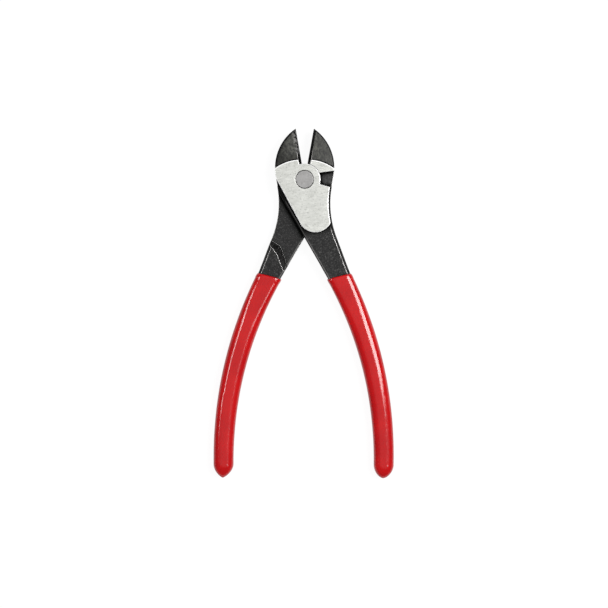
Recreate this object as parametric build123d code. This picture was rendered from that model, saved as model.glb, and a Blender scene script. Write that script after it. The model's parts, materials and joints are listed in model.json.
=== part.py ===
from build123d import *
import math
import os

# Diagonal cutting pliers, 8 inch high-leverage pattern, with a lap joint and dipped grips.
#
# Two forged halves of one pattern cross at a flush joint rivet. Each half is drawn once, in
# the "closed frame": rivet axis on Z, lap plane at z = 0, cutting plane on x = 0, jaw at
# x < 0, handle at x > 0, tips towards +Y. The upper half is that drawing. The lower half is
# the same drawing turned half a turn about Y. Both are then turned apart to the rest opening
# and lifted until the lower ground face lies on z = 0.

# ---- driving dimensions, in millimetres and degrees ----
HEAD_THICKNESS = 12.7  # across the two ground faces
ROOT_THICKNESS = 10.4  # across the forged surfaces around the ground faces
LAP_GAP = 0.05  # between the two lapped plates
REST_OPENING = 20.0  # between the cutting edges as the tool lies open

# joint
BOSS_RADIUS = 9.0
BOSS_CLEARANCE = 0.08  # round socket in the opposite jaw block
RIVET_RADIUS = 3.8
RIVET_HEAD_RADIUS = 5.1
RIVET_HEAD_DEPTH = 2.2
RIVET_CLEARANCE = 0.05  # radial, in the half that turns on the rivet
RIVET_GROOVE = 0.18  # small bevel where the rivet was ground flush

# jaws
TIP = (0.0, 29.6)
JAW_ARC_MIDDLE = (-10.6, 20.9)
CHEEK_TOP = (-15.8, 4.2)  # widest point of the head, end of the jaw's arc
CHEEK_FOOT = (-15.8, -4.6)
JAW_TAPER = 10.0  # slope of the forged jaw faces
CROWN_CENTRE = (-4.3, -13.3)  # the slope is a wide cone about this point
CROWN_RADIUS = 24.9  # where the cone leaves the ground face
EDGE_GAP = 0.03  # left between the closed cutting edges
EDGE_HEIGHT_AT_BOSS = 4.0  # cutting edge above the lap plane
EDGE_HEIGHT_AT_TIP = 1.9
FRONT_BEVEL = 34.0  # from the cutting plane
REAR_BEVEL = 20.0
SPINE_ROUND = 0.9  # along the outer edge of the jaws
STOP_ANGLE = 144.9  # where the jaw block's stop edge leaves the boss
STOP_EDGE_SLOPE = -17.8

# root and handle
SHOULDER_ANGLE = -27.4  # where the shoulder leaves the boss
SHOULDER_OUTER = (14.7, -6.3)
WAIST_MIDDLE = (11.6, -19.7)
WAIST_END = (12.4, -35.5)
INNER_EDGE_END = (1.2, -51.2)
RELIEF = [(14.5, -36.6), (7.4, -39.4), (6.5, -40.4), (-0.8, -53.2)]
RELIEF_WALL = 34.0  # slope of the relief's wall from upright
HANDLE_ARC_RADIUS = 220.0  # bowed centre line, in plan
HANDLE_ARC_APEX = (20.8, -125.5)  # its outermost point
HANDLE_END_Y = -175.1
OUTER_BEVEL = 1.6  # along the handle's outer side
INNER_ROUND = 0.8
LEVEL_END_Y = -32.0  # where the root starts to thin
KNEE_ABOVE_LINE = 5.0  # the handle thins evenly from here down
SHANK_END_Y = -66.0

# ground face
PAD_LEFT = (-15.8, 3.1)
PAD_LEFT_FOOT = (-6.25, -25.5)
PAD_BOTTOM = (1.7, -30.77)
PAD_RIGHT_FOOT = (10.25, -26.9)
PAD_INSET = 1.1  # from the waist's outline
PAD_CORNER_DROP = 0.4  # of its corner, below the shoulder's
PAD_RIM = 0.25  # small bevel around the ground face
PAD_DEPTH = 1.0  # of the pad's blank, inside the root plate

# dipped grips
GRIP_WIDTH = (13.7, 11.0)  # at the dip line and at the end
GRIP_THICKNESS = (10.7, 9.2)
GRIP_CORNER = (0.27, 0.34, 0.41)  # corner radius over thickness, from the dip line downwards
GRIP_CAP = 6.5  # length of the rounded end
COATING = 0.75
DIP_LINE = (9.9, -57.4)
DIP_LINE_TILT = 4.4
TANG_COVER = 3.6  # vinyl beyond the end of the steel
TANG_START = 1.2  # below the dip line, where the steel turns into the rounder tang
TANG_EASE = 0.04  # how much slimmer the tang is there
TANG_CAP = 5.0
TANG_OVERLAP = 1.0  # of tang and shank, where they join
TANG_BLANK = 4.0  # how far above the dip line the tang's blank starts
GRIP_BLANK = 8.0  # and the grip's
BAR_STATIONS = 6  # sections of a bowed bar before its rounded end
CAP_STATIONS = (0.35, 0.62, 0.82, 0.94, 0.99)  # shares of the rounded end's length

FACE_Z = HEAD_THICKNESS / 2
ROOT_Z = ROOT_THICKNESS / 2
LAP_Z = LAP_GAP / 2
CLEAR = 60.0  # well outside the head
FAR = 400.0  # well outside the whole tool
NEAR = 0.01  # for heights that should be equal
ALONG = 0.8  # least Y part of the direction of an edge that runs along the handle


def polar(radius, angle):
    return (radius * math.cos(math.radians(angle)), radius * math.sin(math.radians(angle)))


SHOULDER_INNER = polar(BOSS_RADIUS, SHOULDER_ANGLE)
STOP_INNER = polar(BOSS_RADIUS, STOP_ANGLE)


def between(pair, y):
    """A size that changes evenly from the dip line to the handle's end."""
    share = (y - DIP_LINE[1]) / (HANDLE_END_Y - DIP_LINE[1])
    return pair[0] + (pair[1] - pair[0]) * share


def handle_lean(y):
    """Angle between the handle's centre line and the Y axis at height y."""
    return math.asin((y - HANDLE_ARC_APEX[1]) / HANDLE_ARC_RADIUS)


def beside_handle(y, offset):
    """Plan point at an offset to the outer side of the centre line."""
    lean = handle_lean(y)
    reach = HANDLE_ARC_RADIUS + offset
    return (
        HANDLE_ARC_APEX[0] - HANDLE_ARC_RADIUS + reach * math.cos(lean),
        HANDLE_ARC_APEX[1] + reach * math.sin(lean),
    )


def prism(face, low, high):
    """A plan face extruded between two heights."""
    return extrude(Pos(0, 0, low) * face, amount=high - low)


def waist_arc(inset=0.0):
    """Outer edge of the root, or a concentric arc inside it."""
    arc = ThreePointArc(SHOULDER_OUTER, WAIST_MIDDLE, WAIST_END)
    if inset == 0.0:
        return arc
    radius = arc.radius + inset
    centre = arc.arc_center
    rise = SHOULDER_OUTER[1] - PAD_CORNER_DROP - centre.Y
    foot = PAD_RIGHT_FOOT[1] - centre.Y
    return ThreePointArc(
        (centre.X - math.sqrt(radius**2 - rise**2), centre.Y + rise),
        (centre.X - radius, centre.Y),
        (centre.X - math.sqrt(radius**2 - foot**2), centre.Y + foot),
    )


def boss_arc():
    """The boss's outline from the shoulder round to the jaw block's stop edge."""
    middle = polar(BOSS_RADIUS, (SHOULDER_ANGLE + STOP_ANGLE) / 2)
    return ThreePointArc(SHOULDER_INNER, middle, STOP_INNER)


def jaw_face():
    """Plan of the whole jaw, from the cutting plane to the outer arc, down to the cheek."""
    return make_face(
        [
            ThreePointArc(TIP, JAW_ARC_MIDDLE, CHEEK_TOP),
            Polyline(CHEEK_TOP, (0, CHEEK_TOP[1]), TIP),
        ]
    )


def jaw_envelope():
    """Both faces of the jaw fall away from the ground faces as wide cones, which meet far out."""
    run = FACE_Z / math.tan(math.radians(JAW_TAPER))
    outline = Polyline(
        (0, 0, FACE_Z),
        (CROWN_RADIUS, 0, FACE_Z),
        (CROWN_RADIUS + run, 0, 0),
        (CROWN_RADIUS, 0, -FACE_Z),
        (0, 0, -FACE_Z),
        close=True,
    )
    return Pos(*CROWN_CENTRE) * revolve(make_face(outline), axis=Axis.Z)


def bevel_waste(side, angle, faces_up):
    """Material beyond one bevel of the cutting edge; side is -1 for a jaw at x < 0."""
    start = Vector(side * EDGE_GAP / 2, BOSS_RADIUS, EDGE_HEIGHT_AT_BOSS)
    end = Vector(side * EDGE_GAP / 2, TIP[1], EDGE_HEIGHT_AT_TIP)
    along = (end - start).normalized()
    rise = math.cos(math.radians(angle)) * faces_up
    across = Vector(side * math.sin(math.radians(angle)), 0, rise)
    normal = along.cross(across)
    if normal.X * side > 0:
        normal = normal * -1
    block = Box(FAR, FAR, FAR / 2, align=(Align.CENTER, Align.CENTER, Align.MIN))
    return Plane(origin=start, x_dir=along, z_dir=normal) * block


def jaw(side):
    """One jaw block with its sloping faces and both bevels; side is -1 for x < 0.

    Only the sloping part has a rounded outer edge: the part under the ground faces is crisp.
    """
    raw = prism(jaw_face(), -FACE_Z, FACE_Z) & jaw_envelope()
    crown = Pos(*CROWN_CENTRE) * Cylinder(CROWN_RADIUS, HEAD_THICKNESS)
    sloping = raw - crown
    spine = [edge for edge in sloping.edges() if edge.geom_type == GeomType.BSPLINE]
    block = fillet(spine, SPINE_ROUND) + (raw & crown)
    if side > 0:
        block = mirror(block, about=Plane.YZ)
    block -= bevel_waste(side, FRONT_BEVEL, 1)
    block -= bevel_waste(side, REAR_BEVEL, -1)
    return block


def shank_face():
    """Plan of the root and of the handle down to a little below the dip line."""
    width = (GRIP_WIDTH[0] - 2 * COATING, GRIP_WIDTH[1] - 2 * COATING)
    half_width = between(width, SHANK_END_Y) / 2
    outer_end = beside_handle(SHANK_END_Y, half_width)
    inner_end = beside_handle(SHANK_END_Y, -half_width)
    lean = handle_lean(SHANK_END_Y)
    downwards = Vector(math.sin(lean), -math.cos(lean))
    waist = waist_arc()
    diagonal = Line(CHEEK_FOOT, INNER_EDGE_END)
    return make_face(
        [
            Polyline(STOP_INNER, CHEEK_TOP, CHEEK_FOOT),
            diagonal,
            Spline(INNER_EDGE_END, inner_end, tangents=[diagonal % 1, downwards]),
            Line(inner_end, outer_end),
            Spline(WAIST_END, outer_end, tangents=[waist % 1, downwards]),
            waist,
            Line(SHOULDER_OUTER, SHOULDER_INNER),
            boss_arc(),
        ]
    )


def shank_side_profile():
    """Side view of the shank: level at the root, then thinning towards the grip."""
    line_z = GRIP_THICKNESS[0] / 2 - COATING
    end_z = GRIP_THICKNESS[1] / 2 - COATING
    slope = (end_z - line_z) / (HANDLE_END_Y - DIP_LINE[1])
    foot_z = line_z + slope * (SHANK_END_Y - DIP_LINE[1])
    level_end = (0, LEVEL_END_Y, ROOT_Z)
    knee = (0, DIP_LINE[1] + KNEE_ABOVE_LINE, line_z + slope * KNEE_ABOVE_LINE)
    foot = (0, SHANK_END_Y, foot_z)
    head = (0, BOSS_RADIUS * 2, ROOT_Z)
    top = [
        Line(head, level_end),
        Spline(level_end, knee, tangents=[(0, -1, 0), (0, -1, -slope)]),
        Line(knee, foot),
    ]
    bottom = [mirror(edge, about=Plane.XY) for edge in top]
    ends = [Line(end, (0, end[1], -end[2])) for end in (head, foot)]
    return make_face(top + bottom + ends)


def relief_waste():
    """Clears the lap side of the root for the other half, down to a sloping wall."""
    outline = Polyline(
        *RELIEF,
        (-CLEAR, RELIEF[-1][1]),
        (-CLEAR, CLEAR),
        (CLEAR, CLEAR),
        (CLEAR, RELIEF[0][1]),
        close=True,
    )
    return extrude(Pos(0, 0, LAP_Z) * make_face(outline), amount=-FACE_Z * 2, taper=-RELIEF_WALL)


def long_edges(shank, outer):
    """The edges that run along one side of the shank, above and below, under the shoulder."""
    chosen = []
    for edge in shank.edges():
        middle = edge.center()
        runs_along = abs(edge.tangent_at(0.5).Y) > ALONG
        centre_x = beside_handle(middle.Y, 0)[0] if middle.Y < WAIST_END[1] else 0
        if runs_along and middle.Y < SHOULDER_OUTER[1] and (middle.X > centre_x) == outer:
            chosen.append(edge)
    return chosen


def shank():
    """Root plate and handle steel, with eased long edges, the relief cut and the tang."""
    side_view = Pos(-CLEAR, 0, 0) * extrude(shank_side_profile(), amount=CLEAR * 2)
    body = prism(shank_face(), -FACE_Z, FACE_Z) & side_view
    body = chamfer(long_edges(body, outer=True), OUTER_BEVEL)
    body = fillet(long_edges(body, outer=False), INNER_ROUND)
    body = body & beyond_dip_line(TANG_START)
    return body + (tang() - beyond_dip_line(TANG_START - TANG_OVERLAP)) - relief_waste()


def pad_face():
    """Plan of the ground face below the jaw."""
    right_edge = waist_arc(PAD_INSET)
    foot = right_edge @ 1
    return make_face(
        [
            Polyline(STOP_INNER, CHEEK_TOP, PAD_LEFT, PAD_LEFT_FOOT),
            ThreePointArc(PAD_LEFT_FOOT, PAD_BOTTOM, (foot.X, foot.Y)),
            right_edge,
            Line(right_edge @ 0, SHOULDER_INNER),
            boss_arc(),
        ]
    )


def socket_waste():
    """Room in a jaw block for the other half's boss, and everything below the stop edge."""
    slope = math.tan(math.radians(STOP_EDGE_SLOPE))
    far_y = STOP_INNER[1] - slope * (CLEAR + STOP_INNER[0])
    corners = [(0, 0), STOP_INNER, (-CLEAR, far_y), (-CLEAR, -CLEAR), (0, -CLEAR)]
    below_stop = make_face(Polyline(*corners, close=True))
    boss = Circle(BOSS_RADIUS + BOSS_CLEARANCE)
    return prism(below_stop + boss, -FAR, LAP_Z)


def rivet_shape(clearance=0.0, bevel=-RIVET_GROOVE):
    """The rivet, with a countersunk head ground flush at each face.

    With a clearance and an outward bevel it is the shape of the hole that holds it.
    """
    radius = RIVET_RADIUS + clearance
    head = RIVET_HEAD_RADIUS + clearance
    upper_side = [
        (head + bevel, 0, FACE_Z),
        (head, 0, FACE_Z - abs(bevel)),
        (radius, 0, FACE_Z - RIVET_HEAD_DEPTH),
    ]
    lower_side = [(x, y, -z) for x, y, z in reversed(upper_side)]
    outline = Polyline((0, 0, FACE_Z), *upper_side, *lower_side, (0, 0, -FACE_Z), close=True)
    return revolve(make_face(outline), axis=Axis.Z)


def pad_rim_edges(body):
    """The ground face's edges around the boss and the root, without the jaw block's."""
    chosen = []
    for edge in body.edges():
        middle = edge.center()
        on_face = abs(middle.Z - FACE_Z) < NEAR
        inside_cheek = middle.X > CHEEK_TOP[0] + PAD_INSET
        if on_face and inside_cheek and middle.Y < BOSS_RADIUS:
            chosen.append(edge)
    return chosen


def half(side):
    """One forged half in the closed frame, before it is turned; side -1 is the upper half.

    Both halves are the same forging, but the cutting edges meet in one line, so their bevels
    are mirror images and not turned copies.
    """
    block = jaw(-1)
    if side > 0:
        block = Rot(0, 180, 0) * jaw(1)
    pad = prism(pad_face(), ROOT_Z - PAD_DEPTH, FACE_Z)
    body = shank() + pad + (block - socket_waste())
    body = chamfer(pad_rim_edges(body), PAD_RIM)
    clearance = RIVET_CLEARANCE if side < 0 else 0.0
    return body - rivet_shape(clearance, bevel=RIVET_GROOVE)


def handle_loft(inset, top_y, end_y, cap, corners):
    """A bowed bar with rounded corners and a rounded end, set in from the grip's outer skin.

    The corner radii change over the first stations and stay at the last one given.
    """
    cap_y = end_y + cap
    sections = []
    for i in range(BAR_STATIONS):
        corner = corners[min(i, len(corners) - 1)]
        sections.append((top_y + (cap_y - top_y) * i / (BAR_STATIONS - 1), 1.0, corner))
    for reach in CAP_STATIONS:
        sections.append((cap_y - cap * reach, math.sqrt(1 - reach**2), corners[-1]))
    faces = []
    for y, scale, corner in sections:
        lean = handle_lean(y)
        outward = Vector(math.cos(lean), math.sin(lean), 0)
        along = Vector(math.sin(lean), -math.cos(lean), 0)
        width = (between(GRIP_WIDTH, y) - 2 * inset) * scale
        thickness = (between(GRIP_THICKNESS, y) - 2 * inset) * scale
        radius = (between(GRIP_THICKNESS, y) * corner - inset) * scale
        plane = Plane(origin=(*beside_handle(y, 0), 0), x_dir=outward, z_dir=along)
        faces.append(plane * RectangleRounded(width, thickness, radius))
    return loft(faces)


def beyond_dip_line(distance):
    """Everything above a level line, at a distance below the dip line."""
    block = Box(FAR, FAR, FAR, align=(Align.CENTER, Align.MIN, Align.CENTER))
    return Pos(*DIP_LINE) * Rot(0, 0, DIP_LINE_TILT) * Pos(0, -distance, 0) * block


def tang():
    """The handle's steel inside the grip."""
    start_y = DIP_LINE[1] + TANG_BLANK
    end_y = HANDLE_END_Y + TANG_COVER
    return handle_loft(COATING + TANG_EASE, start_y, end_y, TANG_CAP, GRIP_CORNER[-1:])


def grip(steel):
    """Dipped vinyl sleeve over one handle, cut level at the dip line and fitted to the steel."""
    blank = handle_loft(0, DIP_LINE[1] + GRIP_BLANK, HANDLE_END_Y, GRIP_CAP, GRIP_CORNER)
    return blank - beyond_dip_line(0) - steel


def main():
    os.makedirs("parts", exist_ok=True)
    turn = {-1: Rot(0, 0, REST_OPENING / 2), 1: Rot(0, 0, -REST_OPENING / 2) * Rot(0, 180, 0)}
    lift = Pos(0, 0, FACE_Z)
    upper = half(-1)
    lower = half(1)
    nodes = {
        "upper_half": lift * turn[-1] * upper,
        "upper_grip": lift * turn[-1] * grip(upper),
        "lower_half": lift * turn[1] * lower,
        "lower_grip": lift * turn[1] * grip(lower),
        "joint_rivet": lift * rivet_shape(),
    }
    for name, shape in nodes.items():
        shape.label = name
        export_step(shape, f"parts/{name}.step")


main()
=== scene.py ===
"""Looks of a pair of diagonal cutting pliers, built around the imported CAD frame.

The two forged halves and the rivet stay as CAD nodes and get procedural steel. Each dipped
grip is a new mesh: a sleeve swept along the CAD grip, squarish at the dip line and oval further
down, with a rolled lip, slow waves and an end that droops a little to one side.

Each half is described in its "closed frame": rivet axis on Z, lap plane at z = 0, jaw at
x < 0, handle at x > 0 and tips towards +Y. The lower half is there turned half a turn about Y.
"""

import json
import math

import bpy
import numpy as np
from mathutils import Euler, Matrix, Vector, noise
from mathutils.bvhtree import BVHTree


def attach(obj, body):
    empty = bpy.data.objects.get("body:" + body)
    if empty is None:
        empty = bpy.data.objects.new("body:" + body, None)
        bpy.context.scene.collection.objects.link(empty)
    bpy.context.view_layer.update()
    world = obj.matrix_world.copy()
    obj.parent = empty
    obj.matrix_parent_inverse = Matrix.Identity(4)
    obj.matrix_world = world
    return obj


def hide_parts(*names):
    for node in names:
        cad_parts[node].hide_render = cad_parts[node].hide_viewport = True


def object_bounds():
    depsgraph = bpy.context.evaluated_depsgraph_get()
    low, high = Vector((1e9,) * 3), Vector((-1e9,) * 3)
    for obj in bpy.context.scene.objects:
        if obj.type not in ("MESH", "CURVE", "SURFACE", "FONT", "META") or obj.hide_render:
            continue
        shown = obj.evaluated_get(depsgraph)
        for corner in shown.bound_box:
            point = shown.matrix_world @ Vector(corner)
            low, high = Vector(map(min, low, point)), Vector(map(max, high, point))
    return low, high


MM = 0.001
REST_HALF_ANGLE = math.radians(10)  # each half's turn away from closed, at rest


# ---------------------------------------------------------------- frame

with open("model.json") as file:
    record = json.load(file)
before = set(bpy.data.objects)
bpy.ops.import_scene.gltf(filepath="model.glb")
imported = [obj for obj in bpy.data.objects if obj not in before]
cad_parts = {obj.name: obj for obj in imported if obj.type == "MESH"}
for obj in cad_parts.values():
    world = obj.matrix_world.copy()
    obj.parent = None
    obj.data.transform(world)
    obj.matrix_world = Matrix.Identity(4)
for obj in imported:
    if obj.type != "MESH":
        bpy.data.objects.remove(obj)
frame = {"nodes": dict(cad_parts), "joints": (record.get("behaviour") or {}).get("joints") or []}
cad_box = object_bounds()
nodes = frame["nodes"]
pivot = Vector(frame["joints"][0]["pos_m"])
face_height = pivot.z  # from the lap plane to a ground face

CLOSED_EULER = {
    "upper": Euler((0, 0, -REST_HALF_ANGLE)),
    "lower": Euler((0, math.pi, -REST_HALF_ANGLE)),
}


def closed_from_row(half):
    """Matrix from the row frame to a half's closed frame."""
    return CLOSED_EULER[half].to_matrix().to_4x4() @ Matrix.Translation(-pivot)


# ---------------------------------------------------------------- node helpers


def add(tree, kind, inputs=None, **settings):
    """Adds a shader node; inputs maps socket names or numbers to values or output sockets."""
    made = tree.nodes.new("ShaderNode" + kind)
    for key, value in settings.items():
        setattr(made, key, value)
    for key, value in (inputs or {}).items():
        if isinstance(value, bpy.types.NodeSocket):
            tree.links.new(value, made.inputs[key])
        else:
            made.inputs[key].default_value = value
    return made


def calc(tree, operation, a, b=0.0):
    return add(tree, "Math", {0: a, 1: b}, operation=operation).outputs[0]


def both(tree, first, *others):
    """Mask of where every given mask is."""
    for other in others:
        first = calc(tree, "MULTIPLY", first, other)
    return first


def either(tree, first, *others):
    """Mask of where at least one given mask is."""
    for other in others:
        first = calc(tree, "MAXIMUM", first, other)
    return first


def outside(tree, mask):
    return calc(tree, "SUBTRACT", 1.0, mask)


def dot(tree, a, b):
    return add(tree, "VectorMath", {0: a, 1: b}, operation="DOT_PRODUCT").outputs["Value"]


def ramp(tree, value, low, high, to_low=0.0, to_high=1.0):
    """Smooth step from to_low to to_high while value goes from low to high."""
    made = add(
        tree,
        "MapRange",
        {"Value": value, "From Min": low, "From Max": high, "To Min": to_low, "To Max": to_high},
        interpolation_type="SMOOTHSTEP",
    )
    return made.outputs["Result"]


def between(tree, value, rise, fall):
    """Mask that comes in over the rise and goes out over the fall."""
    return both(tree, ramp(tree, value, *rise), ramp(tree, value, *fall))


SPREAD = (0.3, 0.7)  # most values of a noise lie between these


def grain(tree, coords, scale, detail=3.0, roughness=0.55, stretch=None, distortion=0.0):
    """Noise between 0 and 1, of scale features a metre; stretch multiplies the coordinates first."""
    if stretch is not None:
        coords = add(tree, "Mapping", {"Vector": coords, "Scale": stretch}).outputs[0]
    inputs = {
        "Vector": coords,
        "Scale": scale,
        "Detail": detail,
        "Roughness": roughness,
        "Distortion": distortion,
    }
    return add(tree, "TexNoise", inputs).outputs[0]


def mix(tree, share, a, b):
    """Colour between a and b."""
    return add(tree, "Mix", {0: share, 6: a, 7: b}, data_type="RGBA").outputs[2]


def mix_value(tree, share, a, b):
    return add(tree, "Mix", {0: share, 2: a, 3: b}, data_type="FLOAT").outputs[0]


def mix_vector(tree, share, a, b):
    return add(tree, "Mix", {0: share, 4: a, 5: b}, data_type="VECTOR").outputs[1]


def bump(tree, height, distance, strength, normal=None):
    """Normal bent by a height map of a given depth."""
    inputs = {"Strength": strength, "Distance": distance, "Height": height}
    if normal is not None:
        inputs["Normal"] = normal
    return add(tree, "Bump", inputs).outputs[0]


def grey(level, warmth=0.0):
    return (level * (1 + warmth), level, level * (1 - warmth), 1.0)


def olive(level):
    """Grey with the faint yellow-green of blasted oxide."""
    return (level, level * 1.01, level * 0.84, 1.0)


def new_material(name):
    material = bpy.data.materials.new(name)
    material.use_nodes = True
    tree = material.node_tree
    tree.nodes.clear()
    output = add(tree, "OutputMaterial")
    shader = add(tree, "BsdfPrincipled")
    tree.links.new(shader.outputs[0], output.inputs["Surface"])
    return material, tree, shader


def wire(tree, shader, values):
    for key, value in values.items():
        if isinstance(value, bpy.types.NodeSocket):
            tree.links.new(value, shader.inputs[key])
        else:
            shader.inputs[key].default_value = value


def put_material(obj, material):
    obj.data.materials.clear()
    obj.data.materials.append(material)


# ---------------------------------------------------------------- where each steel finish, painted shade and painted highlight is

EDGE_REACH = 0.42 * MM  # how far wear and painted highlights reach from a sharp edge
CORNER_SKY = 1.0 * MM  # how far the shading looks for a neighbouring wall at an edge
RECESS_SKY = 2.6 * MM  # and in a recess, for the painted shade there

# places in the closed frame
CROWN_CENTRE = (-4.3 * MM, -13.3 * MM)  # of the jaws' cones
CROWN_RADIUS = 24.9 * MM  # of the arc where the cones start
SPINE_CENTRE = (11.4 * MM, 4.9 * MM)  # of a jaw's outer arc
SPINE_RADIUS = 27.2 * MM
SPINE_BAND = {"upper": 0.9 * MM, "lower": 0.5 * MM}  # painted shade along that arc
CUT_BAND = 1.75 * MM  # along the cutting plane, kept black as painted shade
INNER_EDGE = (-15.8 * MM, -4.6 * MM)  # top of the root's inner diagonal edge
INNER_EDGE_LEAN = math.radians(20)  # from the Y axis

# A pair says where a mask starts and where it is full. A pair of pairs is a rise and a fall.
JAW_START = (2 * MM, 4 * MM)  # in Y; ahead of it is the jaw, behind it the joint and handle
WINDOW_START = (-9 * MM, -7 * MM)  # in Y; the lap face is open to view ahead of it
TIP_PART = (12 * MM, 20 * MM)  # in Y
EDGE_LINE_START = (-9 * MM, -12 * MM)  # in Y, downwards
EDGE_LINE_GAIN = (-30 * MM, -38 * MM)  # in Y, where the line grows stronger
# the painted shadow beside the joint
STRIP_RUN = ((-33 * MM, -28 * MM), (8 * MM, 6 * MM))  # in Y
STRIP_HEIGHT = ((4.0 * MM, 4.6 * MM), (6.0 * MM, 5.8 * MM))  # from the lap plane
LAP_HEIGHT = (0.25 * MM, 0.1 * MM)
FACE_DEPTH = (0.03 * MM, 0.01 * MM)  # below a ground face
RIM_DEPTH = (0.32 * MM, 0.25 * MM)  # of the chamfer around it
BOSS_CLEAR = (6 * MM, 7 * MM)  # from the rivet's axis, where bright edges start
CROWN_LINE = (0.55 * MM, 0.25 * MM)  # inside the crown's arc, bright from polish and a painted highlight
CROWN_BAND = (0.95 * MM, 0.45 * MM)  # outside it, dark
EDGE_LINE = ((0.35 * MM, 0.6 * MM), (1.2 * MM, 0.9 * MM))  # painted highlight inside the root's inner edge
BEHIND_CUT = (2.8 * MM, 2.2 * MM)  # from the cutting plane

# tilt of a surface, as the Z part of its normal
LEVEL = (0.992, 0.997)
LEVEL_LAP = (0.98, 0.99)
CONE = ((0.97, 0.98), (0.992, 0.989))
CHAMFER = ((0.55, 0.62), (0.85, 0.78))
RELIEF_WALL = ((0.50, 0.54), (0.60, 0.57))
STEEP = (0.82, 0.40)
SPINE = (0.965, 0.88)
WALL_KEPT = 0.85  # how far the relief's wall is spared the painted shade of other steep sides


def plan_distance(tree, coords, centre):
    """Distance in plan from a vertical line through a point."""
    inputs = {"Vector": coords, "Location": (-centre[0], -centre[1], 0), "Scale": (1, 1, 0)}
    moved = add(tree, "Mapping", inputs)
    return add(tree, "VectorMath", {0: moved.outputs[0]}, operation="LENGTH").outputs["Value"]


def inner_edge_distance(tree, coords):
    """Distance in plan inside the inner diagonal edge of a half's root."""
    inputs = {"Vector": coords, "Location": (-INNER_EDGE[0], -INNER_EDGE[1], 0)}
    moved = add(tree, "Mapping", inputs).outputs[0]
    return dot(tree, moved, (math.cos(INNER_EDGE_LEAN), math.sin(INNER_EDGE_LEAN), 0))


class EdgeMasks:
    """Near any sharp edge, near a convex one, and in a recess where shade is painted; and the normal
    rounded at edges.
    """

    def __init__(self, tree):
        normal = add(tree, "NewGeometry").outputs["Normal"]
        self.rounded = add(tree, "Bevel", {"Radius": EDGE_REACH}, samples=8).outputs[0]
        self.near = ramp(tree, dot(tree, normal, self.rounded), 0.999, 0.965)
        near_sky = add(tree, "AmbientOcclusion", {"Distance": CORNER_SKY}, samples=6).outputs["AO"]
        far_sky = add(tree, "AmbientOcclusion", {"Distance": RECESS_SKY}, samples=8).outputs["AO"]
        self.convex = both(tree, self.near, ramp(tree, near_sky, 0.80, 0.97))
        # painted shade: darkens where nearby walls hide the dome
        self.recess_shade = ramp(tree, far_sky, 0.92, 0.65)


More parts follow.
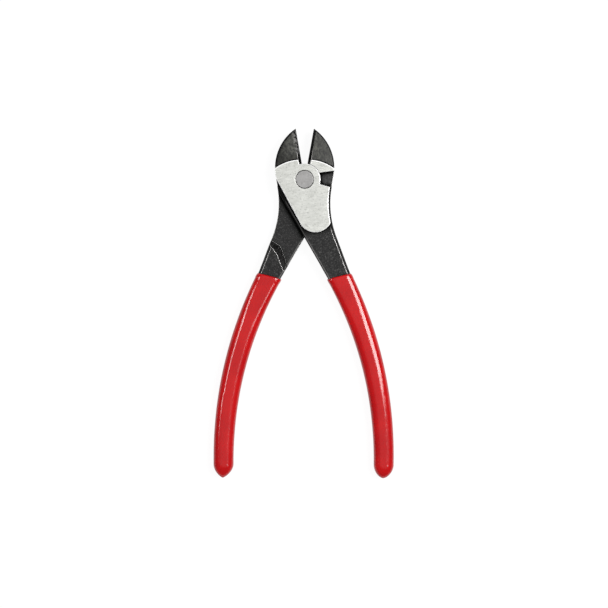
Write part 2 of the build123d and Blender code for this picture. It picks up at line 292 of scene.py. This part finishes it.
class HalfMasks:
    """Where each finish, painted shade and painted highlight is on a forged half, worked out in its
    closed frame.
    """

    def __init__(self, tree, half):
        euler = CLOSED_EULER[half]
        row = add(tree, "TexCoord").outputs["Object"]
        inputs = {"Vector": row, "Location": euler.to_matrix() @ -pivot, "Rotation": euler}
        self.coords = add(tree, "Mapping", inputs).outputs[0]
        at = add(tree, "SeparateXYZ", {0: self.coords})
        self.x = at.outputs["X"]
        self.y = at.outputs["Y"]
        self.height = calc(tree, "ABSOLUTE", at.outputs["Z"])
        self.beside = calc(tree, "ABSOLUTE", self.x)
        normal = add(tree, "SeparateXYZ", {0: add(tree, "NewGeometry").outputs["Normal"]})
        self.upright = calc(tree, "ABSOLUTE", normal.outputs["Z"])
        self.ahead = ramp(tree, self.y, *JAW_START)
        self.from_crown = plan_distance(tree, self.coords, CROWN_CENTRE)
        self.past_crown = calc(tree, "SUBTRACT", self.from_crown, CROWN_RADIUS)
        self.from_rivet = plan_distance(tree, self.coords, (0, 0))
        self.edges = EdgeMasks(tree)
        self.mark_joint(tree)
        self.mark_jaw(tree, half)
        self.mark_root(tree)

    def mark_joint(self, tree):
        """The ground face with the chamfer around it, and the lap face with its open window."""
        depth = calc(tree, "SUBTRACT", face_height, self.height)
        on_face = ramp(tree, depth, *FACE_DEPTH)
        by_face = ramp(tree, depth, *RIM_DEPTH)
        chamfer = between(tree, self.upright, *CHAMFER)
        self.ground = both(tree, on_face, ramp(tree, self.upright, *LEVEL))
        self.rim = both(tree, by_face, chamfer, ramp(tree, self.from_rivet, *BOSS_CLEAR))
        self.bare = either(tree, self.ground, self.rim)
        at_lap = ramp(tree, self.height, *LAP_HEIGHT)
        lap = both(tree, at_lap, ramp(tree, self.upright, *LEVEL_LAP))
        self.window = both(tree, lap, ramp(tree, self.y, *WINDOW_START))

    def mark_jaw(self, tree, half):
        """The jaw's cone, its bright line (polish and painted highlight) and painted shadow band at the
        crown, and the painted shade of its steep sides.
        """
        self.jaw = both(tree, between(tree, self.upright, *CONE), self.ahead)
        inside = calc(tree, "SUBTRACT", CROWN_RADIUS, self.from_crown)
        self.crown_line = both(tree, ramp(tree, inside, *CROWN_LINE), self.ahead)
        self.under_crown = both(tree, self.jaw, ramp(tree, self.past_crown, *CROWN_BAND))
        self.cutting = both(tree, ramp(tree, self.beside, CUT_BAND, CUT_BAND * 0.8), self.ahead)
        wall = calc(tree, "MULTIPLY", between(tree, self.upright, *RELIEF_WALL), WALL_KEPT)
        sides = both(tree, ramp(tree, self.upright, *STEEP), outside(tree, wall))
        spine = both(tree, ramp(tree, self.upright, *SPINE), self.ahead)
        from_spine = plan_distance(tree, self.coords, SPINE_CENTRE)
        band = SPINE_BAND[half]
        outline = ramp(tree, from_spine, SPINE_RADIUS - band * 1.5, SPINE_RADIUS - band)
        # painted shade on steep sides and along the jaw's outer arc
        self.steep = either(tree, sides, spine, both(tree, outline, self.ahead))
        by_edge = ramp(tree, self.beside, *BEHIND_CUT)
        self.behind_cut = both(tree, by_edge, ramp(tree, self.y, *TIP_PART))

    def mark_root(self, tree):
        """The painted highlight along the root's inner edge, and the painted shadow beside the joint.
        """
        inside = inner_edge_distance(tree, self.coords)
        line = between(tree, inside, *EDGE_LINE)
        start = ramp(tree, self.y, *EDGE_LINE_START)
        gain = ramp(tree, self.y, *EDGE_LINE_GAIN, 0.35, 1.0)
        self.edge_highlight = both(tree, line, start, gain)
        level = between(tree, self.height, *STRIP_HEIGHT)
        self.strip = both(tree, level, between(tree, self.y, *STRIP_RUN))


# ---------------------------------------------------------------- forged steel

JAW_SHADE = {"upper": 0.70, "lower": 0.0}  # painted shade: how much darker the outer part of a jaw is
JAW_SHADE_RUN = (-4 * MM, -12 * MM)  # in X
JAW_FOOT_SHADE = {"upper": 0.55, "lower": 0.0}  # painted shade of its part next to the crown
JAW_FOOT_RUN = (5 * MM, 2 * MM)  # outside the crown's arc
GLINTS = {"upper": 0.24, "lower": 0.0}  # painted highlight: bright flecks behind the cutting edge

# tones, roughly darkest first; of a pair, the darker one comes first
DEEP_SHADE = grey(0.0015)  # painted shade in recesses and painted shadow beside the joint
SHADOW = grey(0.003)  # band under the crown
# painted shade on steep sides, the cutting band and the jaws' outline
SHADED_SIDES = grey(0.004)
OXIDE = (grey(0.003, 0.01), grey(0.009, 0.02))
JAW_OXIDE = (olive(0.006), olive(0.080))
JAW_BLOTCH = olive(0.010)
LAP_OXIDE = (grey(0.012), grey(0.06))
SCALE_TONE = grey(0.036, 0.02)
# faint rubbing on flecks of the oxide, and the painted highlight along the root's inner edge
FAINT_RUB_AND_HIGHLIGHT = grey(0.10, 0.02)
SCRATCHED = grey(0.30)
GROUND_PIT = (0.30, 0.305, 0.285, 1)
GROUND_CLOUD = (0.42, 0.425, 0.40, 1)
GROUND = ((0.44, 0.445, 0.42, 1), (0.60, 0.605, 0.575, 1))
# worn bare steel and painted highlight on sharp edges
WEAR_AND_HIGHLIGHT = grey(0.75, 0.02)
# polish and painted highlight along edges of the ground faces
POLISH_AND_HIGHLIGHT = grey(1.0, 0.002)

# depths of the relief
HAMMER_MARKS = 0.10 * MM
SCALE_DEPTH = 0.045 * MM
SPECK_DEPTH = 0.015 * MM
GRINDING_DEPTH = 0.012 * MM

# how mirror-like each dark finish is
OXIDE_GLOSS = 0.22
JAW_GLOSS = (0.55, 0.15)  # of its lit part and its shaded part
BLACK_GLOSS = 0.05
RECESS_GLOSS = 0.02


def jaw_shade(tree, masks, half):
    """How much painted shade darkens a jaw towards its outer side and its foot."""
    outer = ramp(tree, masks.x, *JAW_SHADE_RUN, 0.0, JAW_SHADE[half])
    foot = ramp(tree, masks.past_crown, *JAW_FOOT_RUN, 0.0, JAW_FOOT_SHADE[half])
    return either(tree, outer, foot)


def oxide_and_painted_light(tree, masks, shade, scale, speck):
    """Black oxide, with the blotches, scale and streaks of the forging, and painted shade and painted
    highlights.
    """
    blotch = grain(tree, masks.coords, 240, 4, 0.6, distortion=0.6)
    streak = grain(tree, masks.coords, 750, 4, 0.70, stretch=(1.0, 0.6, 1.0), distortion=0.8)
    dark = mix(tree, ramp(tree, blotch, 0.3, 0.72), *OXIDE)
    dark = mix(tree, ramp(tree, scale, 0.50, 0.64, 0.0, 0.85), dark, SCALE_TONE)
    dark = mix(tree, ramp(tree, speck, 0.57, 0.70, 0.0, 0.7), dark, FAINT_RUB_AND_HIGHLIGHT)
    jaw_tone = mix(tree, ramp(tree, streak, 0.38, 0.62), *JAW_OXIDE)
    jaw_tone = mix(tree, ramp(tree, blotch, 0.35, 0.65, 0.0, 0.6), jaw_tone, JAW_BLOTCH)
    # painted shade on the jaw
    jaw_tone = mix(tree, shade, jaw_tone, JAW_OXIDE[0])
    dark = mix(tree, masks.jaw, dark, jaw_tone)
    dark = mix(tree, masks.window, dark, mix(tree, ramp(tree, streak, 0.35, 0.65), *LAP_OXIDE))
    # painted shade in recesses
    dark = mix(tree, masks.edges.recess_shade, dark, DEEP_SHADE)
    dark = mix(tree, masks.under_crown, dark, SHADOW)
    # painted shadow beside the joint
    dark = mix(tree, masks.strip, dark, DEEP_SHADE)
    # painted highlight along the root's inner edge
    dark = mix(tree, masks.edge_highlight, dark, FAINT_RUB_AND_HIGHLIGHT)
    # painted shade on steep sides and the cutting band
    return mix(tree, either(tree, masks.steep, masks.cutting), dark, SHADED_SIDES)


def ground_colour(tree, masks, polish_and_highlight, lines):
    """Ground faces: fine parallel grinding lines, a few deeper scratches, brighter at the rim by polish
    and a painted highlight.
    """
    cloud = grain(tree, masks.coords, 150, 4, 0.6)
    pits = grain(tree, masks.coords, 900, 3, 0.6)
    scratch = grain(tree, masks.coords, 900, 1, 0.4, stretch=(0.08, 3.0, 0.08), distortion=0.4)
    bright = mix(tree, ramp(tree, lines, *SPREAD), *GROUND)
    bright = mix(tree, ramp(tree, cloud, 0.35, 0.7, 0.0, 0.5), bright, GROUND_CLOUD)
    bright = mix(tree, ramp(tree, pits, 0.54, 0.68, 0.0, 0.6), bright, GROUND_PIT)
    bright = mix(tree, ramp(tree, scratch, 0.68, 0.78, 0.0, 0.4), bright, SCRATCHED)
    return mix(tree, polish_and_highlight, bright, POLISH_AND_HIGHLIGHT)


def edge_wear_and_highlights(tree, masks, half):
    """Patches where the oxide is worn off the forging's sharp outer edges, which also serve as painted
    highlights there, and painted glints behind the cutting edge.
    """
    patchy = ramp(tree, grain(tree, masks.coords, 520, 4, 0.7), 0.36, 0.52, 0.55, 1.0)
    facing_up = ramp(tree, masks.upright, 0.5, 0.75)
    kept = outside(tree, either(tree, masks.cutting, masks.strip))
    wear_and_highlight = both(tree, masks.edges.convex, patchy, outside(tree, masks.bare), facing_up, kept)
    glint_flecks = ramp(tree, grain(tree, masks.coords, 800, 3, 0.7), 0.44, 0.60, 0.0, GLINTS[half])
    return either(tree, wear_and_highlight, both(tree, masks.behind_cut, glint_flecks))


def dark_gloss(tree, masks, shade):
    """How mirror-like the oxide is: most on a lit jaw, least on sides and in recesses."""
    gloss = mix_value(tree, masks.jaw, OXIDE_GLOSS, mix_value(tree, shade, *JAW_GLOSS))
    black = either(tree, masks.steep, masks.cutting, masks.under_crown, masks.strip)
    gloss = mix_value(tree, black, gloss, BLACK_GLOSS)
    return mix_value(tree, masks.edges.recess_shade, gloss, RECESS_GLOSS)


def steel_skin(tree, masks, scale, speck, lines):
    """Relief: scale and hammer marks on the forging, grinding lines on the ground faces."""
    hammered = grain(tree, masks.coords, 300, 2, 0.5)
    rounded = masks.edges.rounded
    forged = bump(tree, hammered, HAMMER_MARKS, 0.5, rounded)
    forged = bump(tree, scale, SCALE_DEPTH, 0.8, forged)
    forged = bump(tree, speck, SPECK_DEPTH, 0.5, forged)
    ground = bump(tree, lines, GRINDING_DEPTH, 0.25, rounded)
    return mix_vector(tree, masks.bare, forged, ground)


def forged_steel(half):
    """Black oxide forging with ground joint faces, machined lap faces and worn edges, with painted
    shade and painted highlights.
    """
    material, tree, shader = new_material("forged_steel_" + half)
    masks = HalfMasks(tree, half)
    scale = grain(tree, masks.coords, 980, 4, 0.70, distortion=0.3)
    speck = grain(tree, masks.coords, 1500, 2, 0.6)
    lines = grain(tree, masks.coords, 500, 4, 0.75, stretch=(0.35, 9.0, 0.35))
    shade = jaw_shade(tree, masks, half)
    wear_and_highlight = edge_wear_and_highlights(tree, masks, half)
    away = ramp(tree, masks.from_rivet, *BOSS_CLEAR, 0.1, 0.85)
    # polish and painted highlight near sharp edges, the crown line and the rim
    polish_and_highlight = both(tree, either(tree, masks.edges.near, masks.crown_line, masks.rim), away)

    dark = oxide_and_painted_light(tree, masks, shade, scale, speck)
    bright = ground_colour(tree, masks, polish_and_highlight, lines)
    dark_rough = ramp(tree, scale, *SPREAD, 0.40, 0.60)
    bright_rough = ramp(tree, lines, *SPREAD, 0.34, 0.46)
    # less metallic where the painted highlight is, so its pale colour shows
    bare_metal = both(tree, masks.bare, outside(tree, calc(tree, "MULTIPLY", polish_and_highlight, 0.6)))
    wear_and_highlight_metal = calc(tree, "MULTIPLY", wear_and_highlight, 0.5)
    values = {
        "Base Color": mix(tree, wear_and_highlight, mix(tree, masks.bare, dark, bright), WEAR_AND_HIGHLIGHT),
        "Metallic": either(tree, bare_metal, wear_and_highlight_metal),
        "Roughness": mix_value(tree, masks.bare, dark_rough, bright_rough),
        "Specular IOR Level": dark_gloss(tree, masks, shade),
        "Normal": steel_skin(tree, masks, scale, speck, lines),
    }
    wire(tree, shader, values)
    return material


# ---------------------------------------------------------------- rivet steel

SATIN = (grey(0.235, 0.01), grey(0.355, 0.015))
SATIN_CLOUD = grey(0.225, 0.02)
PEENED = grey(0.24)
RIVET_EDGE = grey(0.16)
RING_RADIUS = 3.9 * MM
RING_WIDTH = 0.35 * MM


def rivet_steel():
    """Satin rivet end, ground flush, with a faint ring where the head was peened."""
    material, tree, shader = new_material("rivet_steel_satin")
    row = add(tree, "TexCoord").outputs["Object"]
    edges = EdgeMasks(tree)
    lines = grain(tree, row, 500, 4, 0.75, stretch=(9.0, 0.35, 0.35))
    cloud = grain(tree, row, 420, 3, 0.55)
    off_ring = calc(tree, "SUBTRACT", plan_distance(tree, row, (0, 0)), RING_RADIUS)
    ring = ramp(tree, calc(tree, "ABSOLUTE", off_ring), RING_WIDTH, 0.0)
    colour = mix(tree, lines, *SATIN)
    colour = mix(tree, ramp(tree, cloud, 0.35, 0.7, 0.0, 0.6), colour, SATIN_CLOUD)
    colour = mix(tree, calc(tree, "MULTIPLY", ring, 0.3), colour, PEENED)
    colour = mix(tree, calc(tree, "MULTIPLY", edges.convex, 0.5), colour, RIVET_EDGE)
    values = {
        "Base Color": colour,
        "Metallic": 1.0,
        "Roughness": ramp(tree, lines, *SPREAD, 0.36, 0.48),
        "Normal": bump(tree, lines, GRINDING_DEPTH, 0.3, edges.rounded),
    }
    wire(tree, shader, values)
    return material


# ---------------------------------------------------------------- dipped vinyl

VINYL = ((0.43, 0.002, 0.004, 1), (0.51, 0.004, 0.005, 1))
VINYL_LOW_SPOT = (0.30, 0.002, 0.004, 1)
VINYL_HANDLED = (0.55, 0.04, 0.04, 1)
PEEL_DEPTH = 0.005 * MM
FINE_PEEL_DEPTH = 0.0015 * MM


def dipped_vinyl():
    """Red plastisol: glossy with a faint orange peel, uneven gloss and slightly paler handled spots."""
    material, tree, shader = new_material("dipped_vinyl_red")
    row = add(tree, "TexCoord").outputs["Object"]
    cloud = grain(tree, row, 70, 3, 0.5)
    peel = grain(tree, row, 900, 2, 0.5)
    fine = grain(tree, row, 1500, 3, 0.65)
    handled = grain(tree, row, 330, 4, 0.65, distortion=0.5)
    colour = mix(tree, ramp(tree, cloud, *SPREAD), *VINYL)
    colour = mix(tree, ramp(tree, fine, 0.48, 0.68, 0.0, 0.5), colour, VINYL_LOW_SPOT)
    colour = mix(tree, ramp(tree, handled, 0.64, 0.8, 0.0, 0.10), colour, VINYL_HANDLED)
    skin = bump(tree, fine, FINE_PEEL_DEPTH, 0.3, bump(tree, peel, PEEL_DEPTH, 0.4))
    values = {
        "Base Color": colour,
        "Roughness": ramp(tree, handled, 0.35, 0.75, 0.10, 0.18),
        "Specular IOR Level": 0.44,
        "Normal": skin,
    }
    wire(tree, shader, values)
    return material


# ---------------------------------------------------------------- dipped grips

POINTS_PER_RING = 120
RING_STEP = 0.55 * MM
LIP_RINGS = 9
LIP_RUN = 0.9 * MM  # length over which the lip rolls up from the steel
COAT = 0.85 * MM  # the sleeve's inner face lies just inside the steel's surface
CAP_LENGTH = 7.5 * MM
CAP_RINGS = 26
TANG_COVER = 3.6 * MM  # vinyl beyond the steel's end
SQUARE_POWER = 3.6  # of the section at the dip line, as a superellipse
ROUND_POWER = 2.45  # of the section further down
ROUNDING_RUN = 36 * MM

SLOW_WAVES = 95  # per metre
FINE_WAVES = 310
FINE_SHARE = 0.1
WAVE_RISE = 3 * MM  # the waves and the sagged line fade in and out over these runs
RIDGE_RISE = 14 * MM
RIDGE_FALL = 16 * MM
KINK_RUN = 2.5 * MM
BEAD_AT = 1.7 * MM  # thicker roll of vinyl just below the dip line
BEAD_REACH = 2.0 * MM
LIP_UNEVEN = 0.16 * MM  # of the dip line around the handle
LIP_WAVES = 1.6
SKEW_RUN = 18 * MM  # over which rings turn from along the dip line to square on

# What makes each grip its own. Lengths run down the handle from the dip line; "seen" is the
# side of the closed frame that faces up, and "point" is how pointed the end is.
GRIP_STYLES = {
    "upper": {
        "seed": 3.0,
        "seen": 1,
        "wave": 0.02 * MM,
        "bead": 0.10 * MM,
        "ridge": 0.0,
        "point": 1.25,
        "drip_shift": -0.2 * MM,
    },
    "lower": {
        "seed": 11.0,
        "seen": -1,
        "wave": 0.03 * MM,
        "bead": 0.12 * MM,
        "ridge": 0.06 * MM,
        "ridge_width": 0.6 * MM,
        "ridge_at": 2.5 * MM,
        "ridge_run": (20 * MM, 112 * MM),
        "kink": 0.6 * MM,
        "kink_at": 70 * MM,
        "point": 1.6,
        "drip_shift": 0.5 * MM,
    },
}


def smooth(share):
    share = min(max(share, 0.0), 1.0)
    return share * share * (3 - 2 * share)


def hump(value, centre, reach):
    """1 at the centre, falling smoothly to 0 at the reach."""
    return smooth(1 - abs(value - centre) / reach)


class HandleLine:
    """Centre line, half width and half thickness of a CAD grip, measured in its closed frame."""

    STATIONS = 48
    START_BELOW = 1 * MM  # below the grip's inner corner, where its section is whole
    LINE_DEGREE = 5  # of the polynomials fitted through the stations
    WIDTH_DEGREE = 3
    THICKNESS_DEGREE = 2

    def __init__(self, node, half):
        matrix = closed_from_row(half)
        points = [matrix @ v.co for v in nodes[node].data.vertices]
        faces = [tuple(p.vertices) for p in nodes[node].data.polygons]
        tree = BVHTree.FromPolygons(points, faces)
        self.outer_corner = max(points, key=lambda p: p.x + p.y)
        self.inner_corner = max(points, key=lambda p: p.y - p.x)
        self.end_y = min(p.y for p in points)
        top = self.inner_corner.y - self.START_BELOW
        heights = np.linspace(top, self.end_y + CAP_LENGTH, self.STATIONS)
        rows = []
        for y in heights:
            inner = tree.ray_cast(Vector((-1, y, 0)), Vector((1, 0, 0)))[0].x
            outer = tree.ray_cast(Vector((1, y, 0)), Vector((-1, 0, 0)))[0].x
            middle = (inner + outer) / 2
            over = tree.ray_cast(Vector((middle, y, 1)), Vector((0, 0, -1)))[0].z
            rows.append((middle, (outer - inner) / 2, over))
        middles, half_chords, half_thicks = np.array(rows).T
        fit = np.polynomial.Polynomial.fit
        self.middle = fit(heights, middles, self.LINE_DEGREE)
        self.lean = self.middle.deriv()
        self.half_chord = fit(heights, half_chords, self.WIDTH_DEGREE)
        self.half_thick = fit(heights, half_thicks, self.THICKNESS_DEGREE)

    def at(self, y):
        """Centre, tangent down the handle, direction across it, half width and half thickness."""
        tangent = Vector((-self.lean(y), -1, 0)).normalized()
        across = Vector((-tangent.y, tangent.x, 0))
        half_width = self.half_chord(y) * across.x
        return Vector((self.middle(y), y, 0)), tangent, across, half_width, self.half_thick(y)


def section_point(angle, half_width, half_thick, power):
    """Point of a rounded section; a higher power makes it squarer."""
    c, s = math.cos(angle), math.sin(angle)
    u = half_width * math.copysign(abs(c) ** (2 / power), c)
    w = half_thick * math.copysign(abs(s) ** (2 / power), s)
    return u, w


def ridge_height(style, travelled, u, w):
    """A sagged line in the vinyl that runs along the seen side and steps sideways once."""
    if style["ridge"] == 0 or w * style["seen"] < 0:
        return 0.0
    start, end = style["ridge_run"]
    fade = smooth((travelled - start) / RIDGE_RISE) * smooth((end - travelled) / RIDGE_FALL)
    centre = style["ridge_at"] + style["kink"] * smooth((travelled - style["kink_at"]) / KINK_RUN)
    across = (u - centre) / style["ridge_width"]
    return style["ridge"] * fade * math.exp(-across * across)


def wave(point, style):
    """Slow unevenness of the dipped coat, and a finer one on top."""
    slow = noise.noise(point * SLOW_WAVES + Vector((style["seed"], 0, 0)))
    fine = noise.noise(point * FINE_WAVES + Vector((0, style["seed"], 0)))
    return style["wave"] * (slow + FINE_SHARE * fine)


def lip_inset(travelled):
    """How far inside the outer skin the rolled lip still is."""
    share = min(travelled / LIP_RUN, 1.0)
    return COAT * (1 - math.sqrt(1 - (1 - share) ** 2))


def ring_angles():
    return [2 * math.pi * k / POINTS_PER_RING for k in range(POINTS_PER_RING)]


class Sleeve:
    """Rings of points of one dipped sleeve, in its half's closed frame."""

    def __init__(self, node, half, style):
        self.style = style
        self.line = HandleLine(node, half)
        dip_middle = (self.line.outer_corner + self.line.inner_corner) / 2
        dip_line = self.line.outer_corner - self.line.inner_corner
        dip_line.z = 0
        _, tangent, across, _, _ = self.line.at(dip_middle.y)
        self.skew = dip_line.dot(tangent) / dip_line.dot(across)
        self.stations = self.find_stations(dip_middle.y)

    def find_stations(self, y):
        """Stations from the dip line to the start of the rounded end, closer along the lip."""
        stops = [LIP_RUN * (1 - math.cos(0.5 * math.pi * i / LIP_RINGS)) for i in range(LIP_RINGS)]
        stations = []
        travelled = 0.0
        while y > self.line.end_y + CAP_LENGTH:
            stations.append((travelled, *self.line.at(y)))
            count = len(stations)
            onward = stops[count] - travelled if count < LIP_RINGS else RING_STEP
            y += stations[-1][2].y * onward
            travelled += onward
        return stations

    def ring(self, station, inset, skin):
        """One ring; skin adds the lip, waves and ridge of the outer face."""
        travelled, centre, tangent, across, half_width, half_thick = station
        style = self.style
        power = SQUARE_POWER + (ROUND_POWER - SQUARE_POWER) * smooth(travelled / ROUNDING_RUN)
        square_on = smooth(travelled / SKEW_RUN)
        points = []
        for angle in ring_angles():
            grow = -inset
            u, w = section_point(angle, half_width, half_thick, power)
            if skin:
                place = centre + across * u + Vector((0, 0, w))
                grow += wave(place, style) * smooth(travelled / WAVE_RISE)
                grow += ridge_height(style, travelled, u, w)
                grow += style["bead"] * hump(travelled, BEAD_AT, BEAD_REACH)
            u, w = section_point(angle, half_width + grow, half_thick + grow, power)
            around = Vector((math.cos(angle), math.sin(angle), style["seed"]))
            uneven = LIP_UNEVEN * noise.noise(around * LIP_WAVES)
            slide = (u * self.skew + uneven) * (1 - square_on)
            points.append(centre + across * u + Vector((0, 0, w)) + tangent * slide)
        return points

    def cap(self, inset, shortening, skin):
        """Rings of the rounded end, and its last point."""
        _, centre, tangent, across, half_width, half_thick = self.stations[-1]
        reach = (centre.y - self.line.end_y) / abs(tangent.y) - shortening
        point = self.style["point"] if skin else 1.0
        droop = self.style["drip_shift"] if skin else 0.0
        made = []
        for j in range(1, CAP_RINGS):
            turn = 0.5 * math.pi * j / CAP_RINGS
            scale = math.cos(turn) ** point
            along = tangent * (reach * math.sin(turn))
            aside = droop * smooth(j / CAP_RINGS)
            points = []
            for angle in ring_angles():
                u, w = section_point(angle, half_width, half_thick, ROUND_POWER)
                grow = -inset
                if skin:
                    grow += wave(centre + across * u + Vector((0, 0, w)) + along, self.style)
                u, w = section_point(angle, half_width + grow, half_thick + grow, ROUND_POWER)
                place = centre + across * (u * scale + aside) + Vector((0, 0, w * scale))
                points.append(place + along)
            made.append(points)
        return made, centre + tangent * reach + across * droop

    def rings(self):
        """Inner end point, all rings from it over the lip to the outer end, outer end point."""
        inner_cap, inner_end = self.cap(COAT, TANG_COVER, skin=False)
        outer_cap, outer_end = self.cap(0.0, 0.0, skin=True)
        made = inner_cap[::-1]
        made += [self.ring(station, COAT, skin=False) for station in reversed(self.stations[1:])]
        made += [self.ring(station, lip_inset(station[0]), skin=True) for station in self.stations]
        made += outer_cap
        return inner_end, made, outer_end


def closed_faces(ring_count):
    """Faces over an end point, a number of rings, and a last end point."""
    count = POINTS_PER_RING
    faces = [(0, 1 + (k + 1) % count, 1 + k) for k in range(count)]
    for r in range(ring_count - 1):
        for k in range(count):
            a = 1 + r * count + k
            b = 1 + r * count + (k + 1) % count
            faces.append((a, b, b + count, a + count))
    start = 1 + (ring_count - 1) * count
    last = start + count
    faces += [(start + k, start + (k + 1) % count, last) for k in range(count)]
    return faces


def dipped_grip(name, node, half, body, style):
    """One dipped sleeve, closed: inner wall upwards, lip, then the outer skin and its end."""
    first, rings, last = Sleeve(node, half, style).rings()
    back_to_row = closed_from_row(half).inverted()
    points = [first] + [p for ring in rings for p in ring] + [last]
    mesh = bpy.data.meshes.new(name)
    mesh.from_pydata([back_to_row @ p for p in points], [], closed_faces(len(rings)))
    mesh.update()
    mesh.polygons.foreach_set("use_smooth", [True] * len(mesh.polygons))
    obj = bpy.data.objects.new(name, mesh)
    bpy.context.scene.collection.objects.link(obj)
    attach(obj, body)
    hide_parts(node)
    return obj


# ---------------------------------------------------------------- pieces

for half in ("upper", "lower"):
    put_material(nodes[half + "_half"], forged_steel(half))
put_material(nodes["joint_rivet"], rivet_steel())

vinyl = dipped_vinyl()
for half, style in GRIP_STYLES.items():
    sleeve = dipped_grip(half + "_grip_sleeve", half + "_grip", half, half + "_arm", style)
    put_material(sleeve, vinyl)


# ---------------------------------------------------------------- stage

CENTRE = Vector(((cad_box[0].x + cad_box[1].x) / 2, (cad_box[0].y + cad_box[1].y) / 2, pivot.z))
FLOOR_SIDE = 6.0
FLOOR_DROP = 0.05 * MM  # keeps the floor clear of the rest face
PAPER_TONE = 0.08
PAPER_GLOW = 0.94  # lights the paper to nearly white; the rest is the lamps and the shadow
BACKDROP_GLOW = 0.9
DOME_AZIMUTH = math.radians(40)
DOME_LEAN = math.radians(11)
DOME_EDGE = (0.72, 0.18)  # cosine from the dome's axis, and its glow there and beyond
DOME_CORE = (0.93, 0.70)  # the same for the bright middle
LAMP_DISTANCE = 1.4


def floor():
    """Plain pale floor, lit evenly enough to look white, with only a soft contact shadow."""
    place = (CENTRE.x, CENTRE.y, -FLOOR_DROP)
    bpy.ops.mesh.primitive_plane_add(size=FLOOR_SIDE, location=place)
    obj = bpy.context.object
    obj.name = "floor"
    material = bpy.data.materials.new("floor_paper")
    material.use_nodes = True
    tree = material.node_tree
    tree.nodes.clear()
    output = add(tree, "OutputMaterial")
    paper = add(tree, "BsdfDiffuse", {"Color": grey(PAPER_TONE)})
    glow = add(tree, "Emission", {"Color": grey(1.0), "Strength": PAPER_GLOW})
    surface = add(tree, "AddShader", {0: paper.outputs[0], 1: glow.outputs[0]})
    tree.links.new(surface.outputs[0], output.inputs["Surface"])
    obj.data.materials.append(material)


def studio_world():
    """Dome, brightest near the zenith; the camera sees it as an even pale backdrop."""
    world = bpy.data.worlds.new("studio")
    world.use_nodes = True
    bpy.context.scene.world = world
    tree = world.node_tree
    tree.nodes.clear()
    direction = add(tree, "TexCoord").outputs["Generated"]
    lean = Vector((math.cos(DOME_AZIMUTH), math.sin(DOME_AZIMUTH), 0)) * math.sin(DOME_LEAN)
    axis = lean + Vector((0, 0, math.cos(DOME_LEAN)))
    up = dot(tree, direction, axis)
    dome = ramp(tree, up, DOME_EDGE[0], DOME_CORE[0], DOME_EDGE[1], DOME_CORE[1])
    seen = add(tree, "LightPath").outputs["Is Camera Ray"]
    strength = mix_value(tree, seen, dome, BACKDROP_GLOW)
    background = add(tree, "Background", {"Color": grey(1.0), "Strength": strength})
    output = add(tree, "OutputWorld")
    tree.links.new(background.outputs[0], output.inputs["Surface"])


def softbox(name, azimuth, elevation, width, height, radiance):
    """Rectangular area light that faces the object; azimuth is from +X towards +Y."""
    data = bpy.data.lights.new(name, "AREA")
    data.shape = "RECTANGLE"
    data.size = width
    data.size_y = height
    data.energy = radiance * math.pi * width * height
    obj = bpy.data.objects.new(name, data)
    a, e = math.radians(azimuth), math.radians(elevation)
    toward = Vector((math.cos(a) * math.cos(e), math.sin(a) * math.cos(e), math.sin(e)))
    obj.location = CENTRE + toward * LAMP_DISTANCE
    obj.rotation_euler = toward.to_track_quat("Z", "Y").to_euler()
    obj.visible_camera = False
    bpy.context.scene.collection.objects.link(obj)


floor()
studio_world()
softbox("key_right", azimuth=17, elevation=57, width=0.45, height=0.70, radiance=17.0)
softbox("edge_left", azimuth=172, elevation=52, width=0.38, height=0.30, radiance=13.0)
softbox("low_right", azimuth=-32, elevation=60, width=0.12, height=0.30, radiance=7.0)


# ---------------------------------------------------------------- camera

LENS = 120.0
SENSOR = 36.0
FRAME_WIDTH = 0.3466  # of the view, at the joint's height
AIM = Vector((-0.10 * MM, -70.7 * MM, pivot.z))
ROLL = math.radians(0.2)


def camera():
    """Straight down on the open pliers, tips up."""
    data = bpy.data.cameras.new("camera")
    data.sensor_width = SENSOR
    data.lens = LENS
    obj = bpy.data.objects.new("camera", data)
    bpy.context.scene.collection.objects.link(obj)
    obj.location = AIM + Vector((0, 0, FRAME_WIDTH * LENS / SENSOR))
    obj.rotation_euler = (0, 0, ROLL)
    bpy.context.scene.camera = obj


camera()
bpy.context.scene.view_settings.view_transform = "Standard"
bpy.context.scene.view_settings.look = "None"
